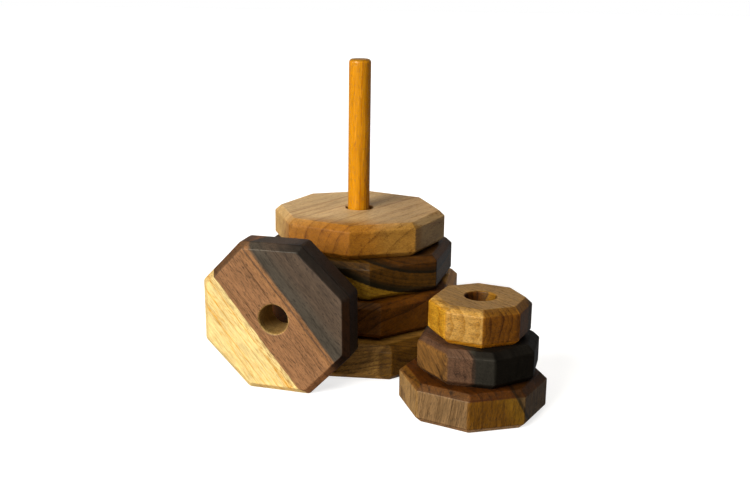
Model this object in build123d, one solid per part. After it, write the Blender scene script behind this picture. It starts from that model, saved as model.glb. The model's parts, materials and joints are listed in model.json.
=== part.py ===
"""Stacking ring toy: an octagonal wooden base with a round peg, and seven octagonal rings in
graduated sizes. The three largest rings are on the peg, the three smallest are piled loose in
front of it, and the middle one stands on edge. Millimetres and degrees, +Z up. The origin is the
centre of the base's underside."""

import math
import os

from build123d import *

# Every block is sawn from board of nearly one thickness and finished in the same way.
bevel = 3.2  # leg of the 45 degree bevel around the top and around the bottom
edge_radius = 1.0  # every edge is sanded round by this much
bore_diameter = 16.0  # hole through every ring

# Base and peg
base_width = 134.0  # across the flats
base_thickness = 20.0
base_heading = -74.0  # direction of the corner that faces the front
peg_diameter = 12.7  # half-inch dowel
peg_top = 168.0  # height of the peg's tip above the table
peg_tip_radius = 2.0
tenon_diameter = 12.0  # the peg's foot is turned down to this, and glued into the base
tenon_length = 14.0

# Rings on the peg, from the bottom: name, width across the flats, thickness, heading of the
# front corner, and the place of the centre. The top one has slipped a little to one side.
tower = [
    ("ring_1_largest", 114.6, 21.0, -77.0, (0.0, 0.0)),
    ("ring_2", 104.6, 21.3, -82.5, (0.0, 0.0)),
    ("ring_3", 93.2, 19.4, -95.6, (0.5, 0.0)),
]

# Loose rings piled on the table, from the bottom, in the same order of values.
loose_pile = [
    ("ring_5", 70.4, 20.5, -97.0, (61.1, -99.8)),
    ("ring_6", 59.2, 19.1, -81.0, (63.6, -99.7)),
    ("ring_7_smallest", 48.6, 19.9, -92.0, (63.6, -99.7)),
]

# The middle ring stands on one facet, with its front face turned away from the tower.
standing_name = "ring_4_middle"
standing_thickness = 19.8
standing_foot = (-42.7, -85.5)  # point on the table under the centre of the front face
standing_heading = -106.3  # direction that the front face looks in
standing_bore_height = 40.4
# It is the least regular ring, so its outline is given corner by corner: how far to the right
# along the face, and how far up from the table.
standing_outline = [
    (41.0, 56.0),
    (14.5, 81.0),
    (-19.0, 80.5),
    (-40.5, 57.5),
    (-40.0, 24.5),
    (-15.0, 0.0),
    (19.0, 0.0),
    (41.5, 23.5),
]


def octagon_corners(width, heading):
    """Corners of a regular octagon that is width across its flats, the first one at heading."""
    reach = width / 2 / math.cos(math.radians(22.5))
    turns = [math.radians(heading + 45 * k) for k in range(8)]
    return [(reach * math.cos(turn), reach * math.sin(turn)) for turn in turns]


def bevelled_block(corners, thickness):
    """A sharp-edged prism on the given corners, bevelled around both ends, from Z = 0 up."""
    prism = extrude(make_face(Polyline(corners, close=True)), thickness)
    ends = prism.faces().filter_by(Axis.Z)
    return chamfer(ends[0].edges() + ends[-1].edges(), bevel)


def ring(corners, thickness, bore_centre=(0.0, 0.0)):
    """A bevelled block with the bore through it and all its edges sanded."""
    middle = Pos(*bore_centre, thickness / 2)
    drilled = bevelled_block(corners, thickness) - middle * Cylinder(
        bore_diameter / 2, 2 * thickness
    )
    return fillet(drilled.edges(), edge_radius)


def make_base():
    """The base block, with a blind hole in its top for the peg's tenon."""
    block = bevelled_block(octagon_corners(base_width, base_heading), base_thickness)
    block = fillet(block.edges(), edge_radius)
    socket_middle = Pos(0, 0, base_thickness)
    return block - socket_middle * Cylinder(tenon_diameter / 2, 2 * tenon_length)


def make_peg():
    """The dowel with its rounded tip, standing on the base, and the tenon below it."""
    length = peg_top - base_thickness
    dowel = Pos(0, 0, base_thickness + length / 2) * Cylinder(peg_diameter / 2, length)
    dowel = fillet(dowel.edges().sort_by(Axis.Z)[-1], peg_tip_radius)
    tenon_middle = Pos(0, 0, base_thickness - tenon_length / 2)
    return dowel + tenon_middle * Cylinder(tenon_diameter / 2, tenon_length)


def make_pile(rings, floor):
    """Rings lying on each other, with the first one's underside at the height floor."""
    pile = {}
    for name, width, thickness, heading, (x, y) in rings:
        pile[name] = Pos(x, y, floor) * ring(octagon_corners(width, heading), thickness)
        floor += thickness
    return pile


def make_standing_ring():
    """Built lying on its back face, and then stood up on its bottom facet."""
    turn = math.radians(standing_heading)
    facing = Vector(math.cos(turn), math.sin(turn), 0)
    rightwards = Vector(0, 0, 1).cross(facing)
    back = Vector(*standing_foot, 0) - facing * standing_thickness
    upright = Plane(origin=back, x_dir=rightwards, z_dir=facing)
    lying = ring(standing_outline, standing_thickness, (0.0, standing_bore_height))
    return upright.location * lying


parts = {"base": make_base(), "peg": make_peg()}
parts.update(make_pile(tower, base_thickness))
parts[standing_name] = make_standing_ring()
parts.update(make_pile(loose_pile, 0.0))

os.makedirs("parts", exist_ok=True)
for name, part in parts.items():
    export_step(part, f"parts/{name}.step")
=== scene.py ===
import json
import math

import bpy
from mathutils import Matrix, Vector, noise


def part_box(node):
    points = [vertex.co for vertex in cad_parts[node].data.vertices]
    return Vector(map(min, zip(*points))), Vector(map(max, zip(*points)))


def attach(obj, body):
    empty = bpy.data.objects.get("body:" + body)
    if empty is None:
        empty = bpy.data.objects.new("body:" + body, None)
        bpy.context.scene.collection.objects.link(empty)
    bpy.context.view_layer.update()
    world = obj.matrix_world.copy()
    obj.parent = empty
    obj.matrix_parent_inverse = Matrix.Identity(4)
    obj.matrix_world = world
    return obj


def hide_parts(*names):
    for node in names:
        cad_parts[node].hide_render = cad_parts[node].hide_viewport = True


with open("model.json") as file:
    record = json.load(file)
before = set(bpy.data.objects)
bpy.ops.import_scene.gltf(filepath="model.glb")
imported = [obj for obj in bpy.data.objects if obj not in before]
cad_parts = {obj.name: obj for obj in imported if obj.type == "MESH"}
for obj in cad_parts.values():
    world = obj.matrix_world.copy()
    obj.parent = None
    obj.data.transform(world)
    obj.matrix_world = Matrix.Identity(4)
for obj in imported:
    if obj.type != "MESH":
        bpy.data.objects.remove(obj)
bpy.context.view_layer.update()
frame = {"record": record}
record = frame["record"]
mounts = {mount["name"]: mount for mount in record["mounts"]}

# ---------------------------------------------------------------- sizes, metres and degrees

BEVEL = 0.0032
EDGE_RADIUS = 0.0010
BORE_RADIUS = mounts["ring_5_bore"]["dims"]["r_mm"] / 1000
PEG_RADIUS = mounts["peg"]["dims"]["r_mm"] / 1000
PEG_TIP_RADIUS = 0.0020
TENON_RADIUS = 0.0060
TENON_LENGTH = 0.0140
SHAVE = 0.000001  # keeps the peg's tip from rounding up past its CAD height
HAND_WAVE = 0.00018  # how far hand sanding has taken the sides in, at most
HAND_WAVE_SCALE = 45  # waves of it in a metre
BEVEL_WAVE = 0.05  # share by which the bevel's width wanders
BEVEL_WAVE_SCALE = 30

# Which way the front corner of each flat-lying block points.
HEADINGS = {
    "base": -74.0,
    "ring_1_largest": -77.0,
    "ring_2": -82.5,
    "ring_3": -95.6,
    "ring_5": -97.0,
    "ring_6": -81.0,
    "ring_7_smallest": -92.0,
}

# How far each block's upright corners have been sanded round.
CORNER_RADIUS = {
    "base": 0.0016,
    "ring_1_largest": 0.0016,
    "ring_2": 0.0016,
    "ring_3": 0.0020,
    "ring_4_middle": 0.0030,
    "ring_5": 0.0016,
    "ring_6": 0.0014,
    "ring_7_smallest": 0.0012,
}

# Corners of the standing ring's face: right along it, and up from the table.
STANDING_OUTLINE = [
    (0.0410, 0.0560),
    (0.0145, 0.0810),
    (-0.0190, 0.0805),
    (-0.0405, 0.0575),
    (-0.0400, 0.0245),
    (-0.0150, 0.0000),
    (0.0190, 0.0000),
    (0.0415, 0.0235),
]
STANDING_THICKNESS = 0.0198

# Softboxes: azimuth, elevation, strength, width in degrees, and colour
KEY = (-129, 25, 6.2, 32, (1.0, 0.985, 0.94))
FILL_LIGHTS = {
    "table_glow": (-113, -25, 1.6, 60, (1.0, 0.92, 0.76)),  # light thrown up by the table
    "top": (-110, 75, 1.2, 50, (1.0, 0.96, 0.88)),
    "back": (80, 16, 1.2, 30, (1.0, 0.95, 0.88)),
    "right": (0, 25, 0.12, 60, (1.0, 0.93, 0.82)),
}

# Brightness of the surroundings, where 1 is the white backdrop
REFLECTED_BACK = 0.34
REFLECTED_FRONT = 0.0
FILL = 0.03
FILL_COLOUR = (1.0, 0.82, 0.60, 1)

FLOOR_HALF = 4.0
FLOOR_GREY = 0.42
FLOOR_GLOW = 0.74
BOUNCE_GREY = 0.42
BOUNCE_DEPTH = 0.0002  # how far the unseen plane lies below the floor

# Mesh density
CORNER_STEPS = 4
FLAT_STEPS = 10
EDGE_STEPS = 4
RIM_STEPS = 5
WALL_ROWS = 4
FACE_ROWS = 6
PEG_SIDES = 72
PEG_ROWS = 48


# ---------------------------------------------------------------- camera, light and floor


def make_camera():
    """The camera stands in front of the toy, a little above it, and is rolled by under a degree."""
    place = Vector((0.00994, -0.622, 0.2241))
    pitch = math.radians(14.97)
    roll = math.radians(0.81)
    ahead = Vector((0, math.cos(pitch), -math.sin(pitch)))
    level = Vector((1, 0, 0))
    upright = level.cross(ahead)
    right = level * math.cos(roll) + upright * math.sin(roll)
    up = upright * math.cos(roll) - level * math.sin(roll)
    data = bpy.data.cameras.new("camera")
    data.lens = 52.05
    camera = bpy.data.objects.new("camera", data)
    bpy.context.scene.collection.objects.link(camera)
    turn = Matrix((right, up, -ahead)).transposed().to_4x4()
    camera.matrix_world = Matrix.Translation(place) @ turn
    bpy.context.scene.camera = camera


def make_sun(name, azimuth, elevation, strength, spread, colour, glare=True):
    """A distant softbox that shines from that direction. Spread is how wide it looks, in degrees.
    Without glare it doesn't show in reflections."""
    around = math.radians(azimuth)
    height = math.radians(elevation)
    towards = Vector(
        (math.cos(height) * math.cos(around), math.cos(height) * math.sin(around), math.sin(height))
    )
    data = bpy.data.lights.new(name, "SUN")
    data.energy = strength
    data.angle = math.radians(spread)
    data.color = colour
    lamp = bpy.data.objects.new(name, data)
    lamp.rotation_mode = "QUATERNION"
    lamp.rotation_quaternion = towards.to_track_quat("Z", "Y")
    lamp.visible_glossy = glare
    bpy.context.scene.collection.objects.link(lamp)


def make_surroundings():
    """A white backdrop. Reflections see it glow behind the toy only, and what it gives to shadows
    is little and warm."""
    world = bpy.data.worlds.new("studio")
    bpy.context.scene.world = world
    world.use_nodes = True
    nodes = world.node_tree.nodes
    links = world.node_tree.links
    rays = nodes.new("ShaderNodeLightPath")
    direction = nodes.new("ShaderNodeTexCoord")
    parts = nodes.new("ShaderNodeSeparateXYZ")
    links.new(direction.outputs["Generated"], parts.inputs["Vector"])

    def choose(value, low, high):
        node = nodes.new("ShaderNodeMapRange")
        links.new(value, node.inputs["Value"])
        for name, end in (("To Min", low), ("To Max", high)):
            if isinstance(end, float):
                node.inputs[name].default_value = end
            else:
                links.new(end, node.inputs[name])
        return node.outputs["Result"]

    reflected = choose(parts.outputs["Y"], REFLECTED_FRONT, REFLECTED_BACK)
    hidden = choose(rays.outputs["Is Diffuse Ray"], reflected, FILL)
    strength = choose(rays.outputs["Is Camera Ray"], hidden, 1.0)
    tint = nodes.new("ShaderNodeMix")
    tint.data_type = "RGBA"
    tint.inputs[6].default_value = (1, 1, 1, 1)
    tint.inputs[7].default_value = FILL_COLOUR
    links.new(rays.outputs["Is Diffuse Ray"], tint.inputs[0])
    background = nodes["Background"]
    links.new(tint.outputs[2], background.inputs["Color"])
    links.new(strength, background.inputs["Strength"])


def make_plane(name, height, grey, glow):
    """A wide flat sheet of matt grey that also glows by itself."""
    mesh = bpy.data.meshes.new(name)
    half = FLOOR_HALF
    corners = [(-half, -half), (half, -half), (half, half), (-half, half)]
    mesh.from_pydata([(x, y, height) for x, y in corners], [], [(0, 1, 2, 3)])
    material = bpy.data.materials.new(name)
    material.use_nodes = True
    surface = material.node_tree.nodes["Principled BSDF"]
    surface.inputs["Base Color"].default_value = (grey, grey, grey, 1)
    surface.inputs["Roughness"].default_value = 0.9
    surface.inputs["Emission Color"].default_value = (1, 1, 1, 1)
    surface.inputs["Emission Strength"].default_value = glow
    mesh.materials.append(material)
    plane = bpy.data.objects.new(name, mesh)
    plane.visible_glossy = False
    bpy.context.scene.collection.objects.link(plane)
    return plane


def make_floor():
    """The pale table top that shows, and an unseen one just below it that throws a little light
    back up at the toy. Neither shades the lamp that shines from below."""
    floor = make_plane("floor", 0.0, FLOOR_GREY, FLOOR_GLOW)
    floor.visible_diffuse = False
    floor.visible_shadow = False
    bounce = make_plane("floor_bounce", -BOUNCE_DEPTH, BOUNCE_GREY, 0.0)
    bounce.visible_camera = False
    bounce.visible_shadow = False


# ---------------------------------------------------------------- meshes


def arc_at(corner, before, after, radius, steps):
    """Points of the arc of that radius that rounds off a corner between two neighbours."""
    to_before = (before - corner).normalized()
    to_after = (after - corner).normalized()
    half = to_before.angle(to_after) / 2
    middle = corner + (to_before + to_after).normalized() * radius / math.sin(half)
    start = corner + to_before * radius / math.tan(half) - middle
    sweep = (math.pi - 2 * half) * (1 if start.x * to_after.y > start.y * to_after.x else -1)
    points = []
    for step in range(steps + 1):
        turn = Matrix.Rotation(sweep * step / steps, 2)
        points.append(middle + turn @ start)
    return points


def inset(corners, distance):
    """The outline with each of its sides moved inward by that distance."""
    moved = []
    for index, corner in enumerate(corners):
        to_before = (corners[index - 1] - corner).normalized()
        to_after = (corners[(index + 1) % len(corners)] - corner).normalized()
        half = to_before.angle(to_after) / 2
        moved.append(corner + (to_before + to_after).normalized() * distance / math.sin(half))
    return moved


def outline(corners, radius):
    """Points round a block with rounded corners, and how much each is on an edge, 0 to 1."""
    count = len(corners)
    arcs = [
        arc_at(corners[k], corners[k - 1], corners[(k + 1) % count], radius, CORNER_STEPS)
        for k in range(count)
    ]
    points = []
    edge = []
    for k, arc in enumerate(arcs):
        points += arc
        edge += [0.5] + [1.0] * (CORNER_STEPS - 1) + [0.5]
        following = arcs[(k + 1) % count][0]
        for step in range(1, FLAT_STEPS):
            points.append(arc[-1].lerp(following, step / FLAT_STEPS))
            edge.append(0.0)
    return points, edge


def section(half):
    """Half of a block's section: inset from the side, height above the middle, and edge weight."""
    sharp = [(0, 0), (0, half - BEVEL), (BEVEL, half), (2 * BEVEL, half)]
    sharp = [Vector(point) for point in sharp]
    lower = arc_at(sharp[1], sharp[0], sharp[2], EDGE_RADIUS, EDGE_STEPS)
    upper = arc_at(sharp[2], sharp[1], sharp[3], EDGE_RADIUS, EDGE_STEPS)
    rows = [(sharp[0].lerp(lower[0], row / WALL_ROWS), 0.0) for row in range(WALL_ROWS)]
    rows += [(point, 1.0) for point in lower]
    rows += [(lower[-1].lerp(upper[0], share), 0.3) for share in (0.33, 0.67)]
    rows += [(point, 1.0) for point in upper]
    return rows


def hand_worked(point, height, seed):
    """How far hand sanding has taken the side in at this point."""
    place = Vector((point.x, point.y, height * 0.7)) * HAND_WAVE_SCALE
    place += Vector((seed * 7.3, 0, 0))
    return HAND_WAVE * min(1.0, max(0.0, 0.5 + 0.6 * noise.noise(place)))


def side_loops(corners, half, corner_radius, seed):
    """Loops of the sides and bevels, from the rim of the underside up to that of the top."""
    centre = sum(corners, Vector((0, 0))) / len(corners)
    rows = section(half)
    whole = [(point, weight, -1) for point, weight in reversed(rows[1:])]
    whole += [(point, weight, 1) for point, weight in rows]
    loops = []
    for point, weight, side in whole:
        flat, on_corner = outline(inset(corners, point.x), corner_radius)
        loop = []
        for spot, corner_weight in zip(flat, on_corner):
            inward = (centre - spot).normalized()
            wave = noise.noise(spot.to_3d() * BEVEL_WAVE_SCALE * side)
            wander = BEVEL_WAVE * point.x * (1 + wave) / 2
            taken = hand_worked(spot, point.y * side, seed) + wander
            spot = spot + inward * taken
            loop.append((Vector((spot.x, spot.y, point.y * side)), max(weight, corner_weight)))
        loops.append(loop)
    return loops


def bore_loops(rim, half):
    """Loops of a bore with rounded rims, from its top down, lined up with the rim of the face."""
    turns = [math.atan2(spot.y, spot.x) for spot, _ in rim]
    rows = []
    for step in range(RIM_STEPS + 1):
        angle = math.pi / 2 * step / RIM_STEPS
        radius = BORE_RADIUS + EDGE_RADIUS * (1 - math.sin(angle))
        rows.append((radius, half - EDGE_RADIUS * (1 - math.cos(angle)), 1.0))
    wall_top = rows[-1][1]
    rows += [(BORE_RADIUS, wall_top * (1 - row / WALL_ROWS), 0.0) for row in range(1, WALL_ROWS)]
    lower = [(radius, -height, weight) for radius, height, weight in reversed(rows)]
    return [circle(radius, height, weight, turns) for radius, height, weight in rows + lower]


def circle(radius, height, weight, turns):
    """One loop of points on a circle round the axis, each with its edge weight."""
    return [
        (Vector((radius * math.cos(turn), radius * math.sin(turn), height)), weight)
        for turn in turns
    ]


def between(first, last, rows):
    """Loops that lie between two others."""
    loops = []
    for row in range(1, rows):
        share = row / rows
        loops.append([(a.lerp(b, share), 0.0) for (a, _), (b, _) in zip(first, last)])
    return loops


def skin(name, loops, side_span, closed):
    """A mesh object through loops of equal length. It closes on itself, or has a cap at each end.
    side_span is the first and the last of the loops that are on the block's sides and bevels."""
    count = len(loops[0])
    points = [spot for loop in loops for spot, _ in loop]
    weights = [weight for loop in loops for _, weight in loop]
    pairs = [(k, k + 1) for k in range(len(loops) - 1)]
    if closed:
        pairs.append((len(loops) - 1, 0))
    faces = []
    for low, high in pairs:
        for k in range(count):
            here = low * count
            there = high * count
            following = (k + 1) % count
            faces.append((here + k, here + following, there + following, there + k))
    if not closed:
        for index, flip in ((0, True), (len(loops) - 1, False)):
            ring = range(index * count, index * count + count)
            middle = sum((points[k] for k in ring), Vector()) / count
            points.append(middle)
            weights.append(0.0)
            for k in range(count):
                pair = (ring[k], ring[(k + 1) % count])
                faces.append((pair[1], pair[0], len(points) - 1) if flip else (*pair, len(points) - 1))
    mesh = bpy.data.meshes.new(name)
    mesh.from_pydata(points, [], faces)
    mesh.polygons.foreach_set("use_smooth", [True] * len(faces))
    first, last = side_span
    on_side = [float(first <= index // count <= last) for index in range(len(points))]
    for key, values in (("edge", weights), ("side", on_side)):
        mesh.attributes.new(key, "FLOAT", "POINT").data.foreach_set("value", values)
    mesh.validate()
    piece = bpy.data.objects.new(name, mesh)
    bpy.context.scene.collection.objects.link(piece)
    normals = piece.modifiers.new("even_shading", "WEIGHTED_NORMAL")
    normals.keep_sharp = False
    return piece


def make_ring(name, corners, thickness, corner_radius, seed):
    """A bevelled block with a bore along its local Z, centred on its origin."""
    half = thickness / 2
    sides = side_loops(corners, half, corner_radius, seed)
    bore = bore_loops(sides[-1], half)
    top = between(sides[-1], bore[0], FACE_ROWS)
    underside = between(bore[-1], sides[0], FACE_ROWS)
    return skin(name, sides + top + bore + underside, (1, len(sides) - 2), closed=True)


def make_base(name, corners, thickness, corner_radius, seed):
    """The bevelled base, with a blind socket for the peg's tenon."""
    half = thickness / 2
    sides = side_loops(corners, half, corner_radius, seed)
    turns = [math.atan2(spot.y, spot.x) for spot, _ in sides[-1]]
    mouth = circle(TENON_RADIUS, half, 0.0, turns)
    foot = circle(TENON_RADIUS, half - TENON_LENGTH, 0.0, turns)
    floor = circle(TENON_RADIUS / 2, half - TENON_LENGTH, 0.0, turns)
    middle = circle(TENON_RADIUS / 2, -half, 0.0, turns)
    underside = [middle] + between(middle, sides[0], FACE_ROWS)
    top = between(sides[-1], mouth, FACE_ROWS)
    rim = len(underside)
    span = (rim + 1, rim + len(sides) - 2)
    return skin(name, underside + sides + top + [mouth, foot, floor], span, closed=False)


def make_peg(name, shoulder, tip):
    """The dowel: a tenon below the shoulder, a straight shaft and a rounded tip."""
    turns = [2 * math.pi * side / PEG_SIDES for side in range(PEG_SIDES)]
    foot = shoulder - TENON_LENGTH
    chamfer = EDGE_RADIUS / 2
    rows = [
        (TENON_RADIUS / 2, foot, 0.0),
        (TENON_RADIUS - chamfer, foot, 0.0),
        (TENON_RADIUS, foot + chamfer, 0.0),
        (TENON_RADIUS, shoulder, 0.0),
        (PEG_RADIUS, shoulder, 0.0),
    ]
    top = tip - PEG_TIP_RADIUS
    for row in range(1, PEG_ROWS):
        rows.append((PEG_RADIUS, shoulder + (top - shoulder) * row / PEG_ROWS, 0.0))
    for step in range(RIM_STEPS + 1):
        angle = math.pi / 2 * step / RIM_STEPS
        radius = PEG_RADIUS - PEG_TIP_RADIUS * (1 - math.cos(angle))
        rows.append((radius, top + PEG_TIP_RADIUS * math.sin(angle), 0.6))
    rows.append((PEG_RADIUS / 3, tip, 0.2))
    loops = [circle(radius, height, weight, turns) for radius, height, weight in rows]
    return skin(name, loops, (0, 0), closed=False)


# ---------------------------------------------------------------- wood

# Noises of the wood: cycles per millimetre towards the pith, across, and along the grain
WANDER_NOISE = (0.045, 0.045, 0.011)
STREAK_NOISE = (0.30, 0.30, 0.012)
FIBRE_NOISE = (1.1, 1.1, 0.06)
PORE_NOISE = (2.3, 2.3, 0.38)
HAIR_NOISE = (3.0, 3.0, 0.08)
RAGGED_NOISE = (0.5, 0.5, 0.05)
CLOUD_NOISE = (0.10, 0.10, 0.03)

PORE_RANGE = (0.56, 0.68)  # where its noise turns into a pore
HAIR_RANGE = (0.46, 0.62)
HAIR_STRENGTH = 0.5
SEED_SHIFT = Vector((131.0, 57.0, 23.0))  # from one piece's place in the wood to the next's

# Oiled surface
SPECULAR = 0.28
SPECULAR_TINT = (1.0, 0.88, 0.70, 1.0)
ROUGH = 0.36
FIBRE_ROUGHER = 0.22
PORE_ROUGHER = 0.15
EDGE_ROUGHER = 0.02
# how much lighter the edges are painted: partly rubbed wear, partly painted highlight
EDGE_LIGHTER = 0.16
ZONE_HAIR = 0.45  # how strongly dark hairs show at the edge of a zone that has them
BUMP_STRENGTH = 0.8
BUMP_HEIGHT = 0.00012


class Nodes:
    """Short calls that build one material. A value is a number, a tuple or another node's output."""

    def __init__(self, name):
        self.material = bpy.data.materials.new(name)
        self.material.use_nodes = True
        self.tree = self.material.node_tree
        self.tree.nodes.clear()

    def node(self, kind, inputs=None, **settings):
        made = self.tree.nodes.new("ShaderNode" + kind)
        for key, value in settings.items():
            setattr(made, key, value)
        for key, value in (inputs or {}).items():
            socket = made.inputs[key]
            if isinstance(value, bpy.types.NodeSocket):
                self.tree.links.new(value, socket)
            else:
                socket.default_value = value
        return made

    def math(self, operation, *values):
        inputs = dict(enumerate(values))
        return self.node("Math", inputs, operation=operation).outputs[0]

    def vector(self, operation, *values):
        inputs = dict(enumerate(values))
        return self.node("VectorMath", inputs, operation=operation).outputs["Vector"]

    def dot(self, a, b):
        return self.node("VectorMath", {0: a, 1: b}, operation="DOT_PRODUCT").outputs["Value"]

    def length(self, vector):
        return self.node("VectorMath", {0: vector}, operation="LENGTH").outputs["Value"]

    def scaled(self, vector, factor):
        inputs = {0: vector, "Scale": factor}
        return self.node("VectorMath", inputs, operation="SCALE").outputs["Vector"]

    def noise(self, vector, detail=2.0, roughness=0.5):
        inputs = {"Vector": vector, "Scale": 1.0, "Detail": detail, "Roughness": roughness}
        return self.node("TexNoise", inputs).outputs["Fac"]

    def noise_1d(self, value, detail=0.0):
        inputs = {"W": value, "Scale": 1.0, "Detail": detail}
        return self.node("TexNoise", inputs, noise_dimensions="1D").outputs["Fac"]

    def step(self, value, low, high, start=0.0, end=1.0):
        """A smooth step from start at low to end at high."""
        inputs = {"Value": value, "From Min": low, "From Max": high, "To Min": start, "To Max": end}
        return self.node("MapRange", inputs, interpolation_type="SMOOTHSTEP").outputs["Result"]

    def mix(self, share, a, b):
        inputs = {0: share, 6: a, 7: b}
        return self.node("Mix", inputs, data_type="RGBA").outputs[2]


def opaque(colour):
    return (*colour, 1.0)


def make_wood(name, wood, seed, turn):
    """Solid wood: growth layers round a far-off pith, fibres and pores along the grain, and zones of
    sapwood, heartwood and dark bands, some of them painted light or painted shade. Its lengths are
    millimetres, and its directions are in the block's own frame, which turn takes to the mesh's."""
    n = Nodes(name)
    grain = turn @ Vector(wood["grain"]).normalized()
    heart = turn @ Vector(wood["heart"])
    heart = (heart - grain * heart.dot(grain)).normalized()
    across = grain.cross(heart)
    coordinates = n.node("TexCoord")
    spot = n.scaled(coordinates.outputs["Object"], 1000.0)
    shifted = n.vector("ADD", spot, (seed * SEED_SHIFT)[:])

    # Where the point is in the tree: towards the pith, across, and along the trunk.
    x = n.math("SUBTRACT", n.dot(spot, heart[:]), wood["pith"])
    y = n.dot(spot, across[:])
    z = n.dot(shifted, grain[:])
    stem = n.node("CombineXYZ", {0: x, 1: y, 2: z}).outputs[0]
    curl = wood.get("curl", 1.0)
    slow = n.vector("MULTIPLY", stem, tuple(scale * curl for scale in WANDER_NOISE))
    wander = n.math("SUBTRACT", n.noise(slow, 1.0), 0.5)
    distance = n.math("SQRT", n.math("ADD", n.math("MULTIPLY", x, x), n.math("MULTIPLY", y, y)))
    radius = n.math("MULTIPLY_ADD", wander, wood.get("wander", 6.0), distance)

    # Growth layers: each darkens outward and ends sharply, and no two are alike.
    uneven = n.noise_1d(n.math("MULTIPLY", radius, 0.4 / wood["layer"]))
    phase = n.math("MULTIPLY_ADD", uneven, 1.2, n.math("DIVIDE", radius, wood["layer"]))
    within = n.math("FRACT", phase)
    which = n.math("FLOOR", phase)
    pick = n.noise_1d(n.math("MULTIPLY_ADD", which, 3.7, seed))
    strength = n.step(pick, 0.3, 0.7, wood.get("faintest", 0.25), 1.0)
    rise = n.math("POWER", within, wood.get("sharp", 3.0))
    line = n.math("MULTIPLY", rise, n.step(within, 0.93, 1.0, 1.0, 0.0))
    line = n.math("MULTIPLY", line, strength)

    # Streaks, fibres, pores and fine dark hairs, all drawn out along the grain.
    streak = n.noise(n.vector("MULTIPLY", stem, STREAK_NOISE), 2.0)
    fibre = n.noise(n.vector("MULTIPLY", stem, FIBRE_NOISE), 4.0, 0.65)
    pore = n.noise(n.vector("MULTIPLY", stem, PORE_NOISE), 1.0)
    pore = n.step(pore, *PORE_RANGE)
    hair = n.noise(n.vector("MULTIPLY", stem, HAIR_NOISE), 2.0)
    hair = n.step(hair, *HAIR_RANGE)
    share = n.math("MULTIPLY_ADD", n.math("SUBTRACT", streak, 0.5), wood["streak"], line)
    share = n.math("MULTIPLY_ADD", n.math("SUBTRACT", hair, 0.4), HAIR_STRENGTH, share)
    share = n.math("MAXIMUM", n.math("MINIMUM", share, 1.0), 0.0)
    colour = n.mix(share, opaque(wood["early"]), opaque(wood["late"]))

    # Sapwood, heartwood and dark bands, each with its own pair of colours; some zones are painted
    # light or painted shade on particular sides, undersides and bores.
    side = n.node("Attribute", attribute_name="side").outputs["Fac"]
    ragged = n.noise(n.vector("MULTIPLY", stem, RAGGED_NOISE), 2.0)
    ragged = n.math("SUBTRACT", ragged, 0.5)
    pore_depth = wood["pore"]
    for zone in wood.get("zones", ()):
        if zone["from"] == "pith":
            place = radius
        elif zone["from"] == "bore":
            off_axis = n.vector("CROSS_PRODUCT", spot, (turn @ Vector((0, 0, 1)))[:])
            place = n.math("MULTIPLY", n.length(off_axis), -1.0)
        else:
            place = n.dot(spot, (turn @ Vector(zone["from"])).normalized()[:])
            place = n.math("MULTIPLY_ADD", wander, zone.get("wander", 2.0), place)
        place = n.math("MULTIPLY_ADD", ragged, zone.get("ragged", 2.0), place)
        inside = n.step(place, zone["edge"] - zone["soft"], zone["edge"] + zone["soft"])
        if zone.get("sides_only"):
            inside = n.math("MULTIPLY", inside, side)
        own = n.mix(share, opaque(zone["early"]), opaque(zone["late"]))
        if "hairs" in zone:
            near = n.step(place, zone["edge"], zone["edge"] + zone["hairs"], ZONE_HAIR, 0.0)
            own = n.mix(n.math("MULTIPLY", near, hair), own, opaque(wood["late"]))
        colour = n.mix(inside, colour, own)
        if "pore" in zone:
            pore_depth = n.math("MULTIPLY_ADD", inside, zone["pore"] - wood["pore"], pore_depth)

    # End grain soaks up more oil, so it is deeper and warmer.
    facing = n.math("ABSOLUTE", n.dot(coordinates.outputs["Normal"], grain[:]))
    end_colour = n.vector("MULTIPLY", colour, wood["end_tint"])
    colour = n.mix(n.step(facing, 0.2, 0.9), colour, end_colour)

    # Tone: cloudy patches, fibres, dark pores, and edges a little lighter in patches, partly as rubbed
    # wear and partly as a painted highlight.
    cloud = n.noise(n.vector("MULTIPLY", stem, CLOUD_NOISE), 2.0)
    tone = n.math("MULTIPLY_ADD", n.math("SUBTRACT", cloud, 0.5), wood.get("cloud", 0.5), 1.0)
    fibre_tone = n.math("MULTIPLY_ADD", n.math("SUBTRACT", fibre, 0.5), wood["fibre"], 1.0)
    pore_tone = n.math("SUBTRACT", 1.0, n.math("MULTIPLY", pore, pore_depth))
    edge = n.node("Attribute", attribute_name="edge").outputs["Fac"]
    # Edges lighter in patches: partly rubbed wear, partly a painted highlight along the rims.
    rubbed_and_highlit = n.math("MULTIPLY", edge, n.step(n.noise(n.scaled(shifted, 0.12)), 0.3, 0.7))
    edge_tone = n.math("MULTIPLY_ADD", rubbed_and_highlit, EDGE_LIGHTER, 1.0)
    tone = n.math("MULTIPLY", tone, fibre_tone)
    tone = n.math("MULTIPLY", tone, n.math("MULTIPLY", pore_tone, edge_tone))
    colour = n.scaled(colour, tone)

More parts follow.
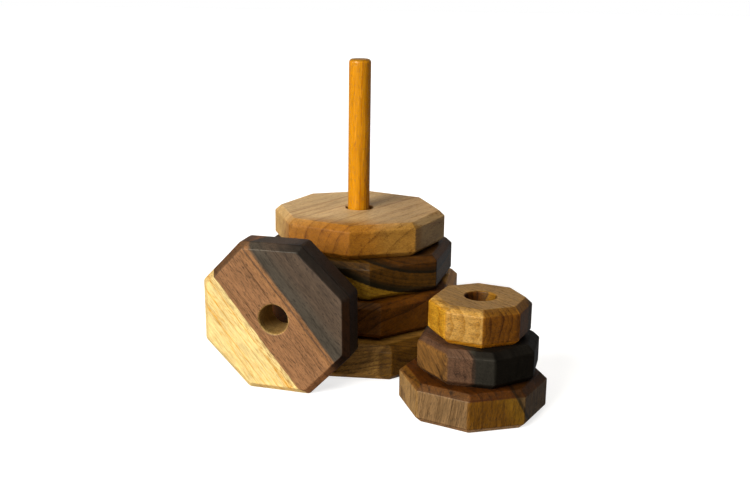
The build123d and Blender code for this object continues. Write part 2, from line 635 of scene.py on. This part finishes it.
    # Oiled, hand-sanded surface: the gloss varies, and fibres and pores can be felt.
    rough = n.math("MULTIPLY_ADD", fibre, FIBRE_ROUGHER, wood.get("rough", ROUGH))
    rough = n.math("MULTIPLY_ADD", pore, PORE_ROUGHER, rough)
    rough = n.math("MULTIPLY_ADD", edge, EDGE_ROUGHER, rough)
    sanded = n.noise(n.scaled(shifted, 0.9), 2.0)
    height = n.math("MULTIPLY_ADD", fibre, 0.5, n.math("MULTIPLY", pore, -0.6))
    height = n.math("MULTIPLY_ADD", sanded, 0.25, height)
    bump = n.node(
        "Bump", {"Strength": BUMP_STRENGTH, "Distance": BUMP_HEIGHT, "Height": height}
    )
    surface = n.node(
        "BsdfPrincipled",
        {
            "Base Color": colour,
            "Roughness": rough,
            "Normal": bump.outputs["Normal"],
            "Specular IOR Level": wood.get("specular", SPECULAR),
            "Specular Tint": SPECULAR_TINT,
        },
    )
    output = n.node("OutputMaterial")
    n.tree.links.new(surface.outputs["BSDF"], output.inputs["Surface"])
    return n.material


# One wood for each node. Colours are a pair: early wood and late wood. grain is the way that the
# trunk ran and heart the way to its pith, which lies pith millimetres off; layer is the width of a
# growth layer. streak, cloud, fibre and pore say how strong each figure is, sharp and faintest how
# the growth lines look, and wander and curl how far and how often they bend. end_tint multiplies
# the colour of end grain.
#
# A zone is a region with its own pair of colours, and later ones lie over earlier ones. It begins
# where the distance named by "from" passes "edge", in millimetres: the distance along a direction
# from the block's middle, from the pith, or (negative) from the bore's axis. "soft" is half the
# width of the change, "ragged" and "wander" bend its edge, "hairs" is how far dark hairs reach in,
# "pore" is its own strength of pores, and "sides_only" keeps it off the faces.
# Some zones are painted light or painted shade, not the wood's own colour; each says so where it
# stands.
WOODS = {
    "peg": dict(
        slot="orange_dowel_wood",
        grain=(0.01, 0.02, 1),
        heart=(1, 0.3, 0),
        pith=38,
        layer=2.6,
        early=(0.42, 0.165, 0.003),
        late=(0.27, 0.080, 0.0008),
        streak=1.2,
        fibre=0.8,
        pore=0.35,
        cloud=0.3,
        rough=0.14,
        end_tint=(0.55, 0.62, 1.0),
    ),
    "base": dict(
        slot="olive_brown_wood",
        grain=(0.9, -0.35, 0.39),
        heart=(-0.335, 0.257, 1),
        pith=85,
        layer=1.9,
        faintest=0.5,
        sharp=1.6,
        early=(0.215, 0.105, 0.020),
        late=(0.055, 0.022, 0.0015),
        streak=1.5,
        fibre=1.7,
        pore=0.4,
        zones=[
            # painted shade: the front-right facet, turned away from the key light, made darker than
            # the front-left
            {
                "from": (0.63, -0.78, 0.0),
                "edge": 61.5,
                "soft": 1.0,
                "ragged": 0.5,
                "wander": 0.0,
                "early": (0.090, 0.039, 0.0025),
                "late": (0.024, 0.008, 0.0002),
            }
        ],
        end_tint=(0.85, 0.78, 0.65),
    ),
    "ring_1_largest": dict(
        slot="red_brown_wood",
        grain=(0.78, 0.20, 0.40),
        heart=(-0.38, -0.1, 0.92),
        pith=90,
        layer=3.0,
        sharp=2.0,
        early=(0.092, 0.029, 0.0008),
        late=(0.024, 0.0055, 0.0001),
        streak=2.0,
        fibre=1.7,
        pore=0.4,
        zones=[
            # painted light: the right corner made pale tan, standing in for light falling on that side
            {
                "from": (0.95, 0.3, 0.0),
                "edge": 44.0,
                "soft": 2.0,
                "early": (0.360, 0.185, 0.042),
                "late": (0.200, 0.090, 0.014),
            }
        ],
        end_tint=(0.85, 0.75, 0.6),
    ),
    "ring_2": dict(
        slot="dark_banded_wood",
        grain=(0.5, -0.866, 0.04),
        heart=(0.203, 0.117, 0.972),
        pith=104,
        layer=2.3,
        sharp=1.5,
        faintest=0.6,
        wander=1.2,
        early=(0.052, 0.018, 0.0012),
        late=(0.015, 0.005, 0.0003),
        streak=1.8,
        fibre=1.7,
        pore=0.35,
        zones=[
            {
                "from": "pith",
                "edge": 99.9,
                "soft": 1.8,
                "ragged": 1.2,
                "early": (0.009, 0.006, 0.0025),
                "late": (0.004, 0.003, 0.0015),
            },
            {
                "from": "pith",
                "edge": 102.3,
                "soft": 0.4,
                "ragged": 1.2,
                "early": (0.070, 0.029, 0.0020),
                "late": (0.011, 0.004, 0.0002),
            },
            {
                "from": "pith",
                "edge": 110.4,
                "soft": 2.0,
                "ragged": 1.2,
                "early": (0.010, 0.007, 0.0025),
                "late": (0.005, 0.004, 0.0015),
            },
            {
                "from": "pith",
                "edge": 114.3,
                "soft": 0.5,
                "ragged": 1.2,
                "early": (0.270, 0.150, 0.010),
                "late": (0.150, 0.070, 0.003),
            },
        ],
        end_tint=(0.95, 0.9, 0.85),
    ),
    "ring_3": dict(
        slot="pale_tan_wood",
        grain=(0.584, 0.81, 0.0),
        heart=(0.747, -0.538, -0.391),
        pith=120,
        layer=6.0,
        sharp=4.0,
        faintest=0.45,
        early=(0.42, 0.280, 0.130),
        late=(0.22, 0.100, 0.025),
        streak=1.6,
        fibre=1.1,
        pore=0.25,
        zones=[
            {
                "from": (1.0, 0.0, 0.0),
                "edge": 12.0,
                "soft": 16.0,
                "ragged": 6.0,
                "early": (0.300, 0.185, 0.075),
                "late": (0.150, 0.064, 0.013),
            },
            {
                "from": (-0.2, -1.0, -0.5),
                "edge": 28.0,
                "soft": 10.0,
                "ragged": 5.0,
                "early": (0.250, 0.100, 0.008),
                "late": (0.085, 0.024, 0.0005),
            },
            {
                "from": (0.450, -0.893, 0.0),
                "edge": 45.2,
                "soft": 1.8,
                "ragged": 2.0,
                "sides_only": True,
                "early": (0.245, 0.122, 0.022),
                "late": (0.052, 0.017, 0.0005),
            },
        ],
        end_tint=(0.80, 0.70, 0.45),
    ),
    "ring_4_middle": dict(
        slot="three_band_wood",
        grain=(0.642, -0.767, 0.08),
        heart=(0.767, 0.642, -0.15),
        pith=110,
        layer=4.2,
        wander=2.5,
        early=(0.178, 0.082, 0.034),
        late=(0.070, 0.029, 0.010),
        streak=1.9,
        fibre=1.4,
        pore=0.5,
        zones=[
            {
                "from": (0.767, 0.642, 0.0),
                "edge": 8.0,
                "soft": 3.5,
                "early": (0.186, 0.084, 0.031),
                "late": (0.078, 0.031, 0.010),
            },
            {
                "from": (0.767, 0.642, 0.36),
                "edge": 13.4,
                "soft": 0.3,
                "ragged": 2.5,
                "early": (0.085, 0.043, 0.022),
                "late": (0.040, 0.021, 0.012),
            },
            {
                "from": (0.767, 0.642, 0.36),
                "edge": 14.1,
                "soft": 0.3,
                "ragged": 2.0,
                "early": (0.186, 0.084, 0.031),
                "late": (0.078, 0.031, 0.010),
            },
            {
                "from": (-0.73, 0.68, 0.0),
                "edge": 37.5,
                "soft": 0.8,
                "sides_only": True,
                "early": (0.080, 0.038, 0.015),
                "late": (0.040, 0.018, 0.007),
            },
            {
                "from": (-0.767, -0.642, -0.5),
                "edge": 7.0,
                "soft": 0.35,
                "ragged": 1.2,
                "hairs": 7.0,
                "pore": 0.12,
                "early": (0.50, 0.375, 0.155),
                "late": (0.42, 0.185, 0.006),
            },
            {
                "from": (0.767, 0.642, 0.36),
                "edge": 15.8,
                "soft": 1.0,
                "ragged": 2.0,
                "early": (0.034, 0.027, 0.020),
                "late": (0.019, 0.015, 0.011),
            },
            {
                "from": (0.767, 0.642, 0.0),
                "edge": 21.0,
                "soft": 4.0,
                "ragged": 3.0,
                "wander": 3.0,
                "early": (0.050, 0.032, 0.021),
                "late": (0.028, 0.018, 0.013),
            },
            {
                "from": (0.25, 0.55, 0.8),
                "edge": 28.0,
                "soft": 1.5,
                "sides_only": True,
                "early": (0.018, 0.012, 0.009),
                "late": (0.007, 0.005, 0.004),
            },
            # painted shade: the right sides and bevels, turned away from the key light, made near
            # black
            {
                "from": (0.95, 0.3, 0.0),
                "edge": 23.0,
                "soft": 5.0,
                "sides_only": True,
                "early": (0.013, 0.0045, 0.0015),
                "late": (0.003, 0.001, 0.0003),
            },
            # painted shade: the upper-right bevel, also turned away from the key light, made near
            # black
            {
                "from": (0.5, 0.6, 0.6),
                "edge": 33.5,
                "soft": 2.5,
                "sides_only": True,
                "early": (0.007, 0.005, 0.004),
                "late": (0.003, 0.002, 0.002),
            },
            # partly the bore wall's own olive tone, partly painted light: the wall is made lighter
            # than the wood around it
            {
                "from": "bore",
                "edge": -8.5,
                "soft": 0.4,
                "ragged": 0.0,
                "early": (0.280, 0.180, 0.060),
                "late": (0.130, 0.076, 0.018),
            },
        ],
        end_tint=(0.8, 0.7, 0.6),
    ),
    "ring_5": dict(
        slot="striped_brown_wood",
        grain=(0.12, -0.10, 1.0),
        heart=(0.93, 0.35, 0.0),
        pith=90,
        layer=3.8,
        faintest=0.5,
        sharp=2.0,
        early=(0.128, 0.070, 0.027),
        late=(0.050, 0.023, 0.006),
        streak=1.9,
        fibre=1.6,
        pore=0.4,
        zones=[
            {
                "from": (0.0, 0.0, 1.0),
                "edge": 8.2,
                "soft": 0.8,
                "ragged": 0.0,
                "wander": 0.0,
                "early": (0.140, 0.068, 0.0080),
                "late": (0.006, 0.002, 0.0001),
            },
            {
                "from": (-0.964, -0.267, 0.0),
                "edge": 34.3,
                "soft": 0.4,
                "ragged": 0.4,
                "wander": 0.0,
                "early": (0.205, 0.112, 0.034),
                "late": (0.055, 0.023, 0.005),
            },
            {
                "from": (0.267, -0.964, 0.0),
                "edge": 34.3,
                "soft": 0.4,
                "ragged": 0.4,
                "wander": 0.0,
                "early": (0.080, 0.031, 0.0008),
                "late": (0.034, 0.011, 0.0002),
            },
            {
                "from": (0.867, 0.106, 0.487),
                "edge": 9.5,
                "soft": 5.0,
                "early": (0.105, 0.049, 0.0020),
                "late": (0.050, 0.020, 0.0005),
            },
            {
                "from": (0.867, 0.106, 0.487),
                "edge": 15.9,
                "soft": 0.5,
                "ragged": 0.8,
                "early": (0.024, 0.014, 0.005),
                "late": (0.012, 0.007, 0.002),
            },
            {
                "from": (0.867, 0.106, 0.487),
                "edge": 17.5,
                "soft": 0.5,
                "ragged": 0.8,
                "early": (0.075, 0.042, 0.015),
                "late": (0.026, 0.014, 0.004),
            },
            # painted light: the bottom bevel and underside made much paler, standing in for light
            # thrown up by the table
            {
                "from": (0.0, 0.0, -1.0),
                "edge": 7.6,
                "soft": 0.6,
                "ragged": 0.0,
                "wander": 0.0,
                "early": (0.340, 0.230, 0.120),
                "late": (0.140, 0.085, 0.030),
            },
        ],
        end_tint=(0.40, 0.21, 0.03),
    ),
    "ring_6": dict(
        slot="near_black_wood",
        grain=(0.45, -0.62, -0.64),
        heart=(0.85, 0.5, 0.1),
        pith=60,
        layer=3.2,
        early=(0.0035, 0.0028, 0.0020),
        late=(0.0010, 0.0008, 0.0005),
        rough=0.46,
        specular=0.18,
        streak=2.0,
        fibre=1.6,
        pore=0.35,
        zones=[
            {
                "from": (-1, 0.25, 0.1),
                "edge": -1.0,
                "soft": 1.5,
                "early": (0.0160, 0.0144, 0.0104),
                "late": (0.0094, 0.0083, 0.0062),
            },
            {
                "from": (-0.233, -0.972, 0.0),
                "edge": 28.7,
                "soft": 0.4,
                "ragged": 0.4,
                "wander": 0.0,
                "early": (0.0085, 0.0078, 0.0060),
                "late": (0.0048, 0.0044, 0.0034),
            },
            {
                "from": (-0.88, -0.477, 0.0),
                "edge": 18.5,
                "soft": 1.4,
                "ragged": 1.0,
                "early": (0.064, 0.031, 0.0160),
                "late": (0.014, 0.005, 0.0025),
            },
            {
                "from": (-0.853, -0.522, 0.0),
                "edge": 28.6,
                "soft": 0.5,
                "ragged": 0.8,
                "wander": 0.3,
                "early": (0.118, 0.052, 0.0112),
                "late": (0.009, 0.003, 0.0006),
            },
        ],
        end_tint=(0.9, 0.85, 0.8),
    ),
    "ring_7_smallest": dict(
        slot="golden_wood",
        grain=(0.6, -0.8, 0.05),
        heart=(-0.8, -0.6, 0.05),
        pith=55,
        layer=2.8,
        wander=4.0,
        curl=2.2,
        sharp=1.6,
        faintest=0.7,
        early=(0.235, 0.118, 0.014),
        late=(0.040, 0.012, 0.0003),
        streak=1.6,
        fibre=1.6,
        pore=0.45,
        zones=[
            {
                "from": (-0.74, -0.67, 0.0),
                "edge": 16.5,
                "soft": 2.0,
                "early": (0.350, 0.195, 0.042),
                "late": (0.225, 0.100, 0.006),
            },
            {
                "from": (-0.937, -0.350, 0.0),
                "edge": 23.4,
                "soft": 0.4,
                "ragged": 0.4,
                "wander": 0.0,
                "early": (0.333, 0.160, 0.0097),
                "late": (0.214, 0.082, 0.0014),
            },
            # painted shade and painted sheen: the right facet, turned away from the key light, made
            # dark and greyish
            {
                "from": (0.95, 0.2, 0.0),
                "edge": 22.0,
                "soft": 0.8,
                "early": (0.075, 0.050, 0.028),
                "late": (0.042, 0.027, 0.014),
            },
            {
                "from": (0.0, 0.0, 1.0),
                "edge": 8.7,
                "soft": 0.5,
                "ragged": 0.0,
                "wander": 0.0,
                "early": (0.208, 0.110, 0.026),
                "late": (0.110, 0.051, 0.008),
            },
            # painted light: the bottom bevel and underside made paler, standing in for light thrown up
            # by the table
            {
                "from": (0.0, 0.0, -1.0),
                "edge": 7.2,
                "soft": 0.6,
                "ragged": 0.0,
                "wander": 0.0,
                "early": (0.460, 0.190, 0.008),
                "late": (0.260, 0.085, 0.001),
            },
            {
                "from": "bore",
                "edge": -8.5,
                "soft": 0.4,
                "ragged": 0.0,
                "early": (0.150, 0.063, 0.003),
                "late": (0.016, 0.005, 0.0002),
            },
        ],
        end_tint=(0.40, 0.26, 0.035),
    ),
}


# ---------------------------------------------------------------- pieces

# Where in its wood each piece is cut: the flat-lying blocks have 1 to 7
STANDING_SEED = 8
PEG_SEED = 9


def octagon(heading, half_width):
    """Corners of the regular octagon with that heading and half extent along X."""
    turns = [math.radians(heading + 45 * k) for k in range(8)]
    reach_share = max(abs(math.cos(turn)) for turn in turns)
    to_flat = math.cos(math.radians(22.5))
    apothem = (half_width - EDGE_RADIUS) * to_flat / reach_share + EDGE_RADIUS
    reach = apothem / to_flat
    return [Vector((reach * math.cos(turn), reach * math.sin(turn))) for turn in turns]


def finish_piece(piece, node, body, seed, turn=Matrix.Identity(3)):
    """Gives a piece its wood, and ties it to the CAD node and body that it stands for."""
    wood = WOODS[node]
    piece.data.materials.append(make_wood(wood["slot"], wood, seed, turn))
    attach(piece, body)
    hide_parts(node)


def make_flat_pieces():
    """The base and the rings that lie flat."""
    bodies = record["behaviour"]["bodies"]
    body_of = {node: body for body, members in bodies.items() for node in members}
    for seed, (node, heading) in enumerate(HEADINGS.items(), start=1):
        low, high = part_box(node)
        corners = octagon(heading, (high.x - low.x) / 2)
        build = make_base if node == "base" else make_ring
        piece = build(node + "_wood", corners, high.z - low.z, CORNER_RADIUS[node], seed)
        piece.location = (low + high) / 2
        finish_piece(piece, node, body_of[node], seed)


def make_dowel():
    """The peg, on the origin's axis."""
    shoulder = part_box("base")[1].z
    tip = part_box("peg")[1].z - SHAVE
    peg = make_peg("peg_wood", shoulder, tip)
    finish_piece(peg, "peg", "base", PEG_SEED)


def make_standing_ring():
    """The ring on its edge, built lying flat and then stood up round its bore."""
    mount = mounts["ring_4_bore"]
    bore = Vector(mount["pos_m"])
    facing = Vector(mount["axis"])
    corners = [Vector((right, up - bore.z)) for right, up in STANDING_OUTLINE]
    radius = CORNER_RADIUS["ring_4_middle"]
    piece = make_ring(
        "ring_4_middle_wood", corners, STANDING_THICKNESS, radius, STANDING_SEED
    )
    up = Vector((0, 0, 1))
    turn = Matrix((up.cross(facing), up, facing)).transposed()
    piece.data.transform(turn.to_4x4())
    piece.location = bore
    finish_piece(piece, "ring_4_middle", "ring_4", STANDING_SEED, turn)


make_camera()
make_sun("key", *KEY)
for name, settings in FILL_LIGHTS.items():
    make_sun(name, *settings, glare=False)
make_surroundings()
make_floor()
bpy.context.scene.view_settings.view_transform = "Standard"

make_flat_pieces()
make_dowel()
make_standing_ring()
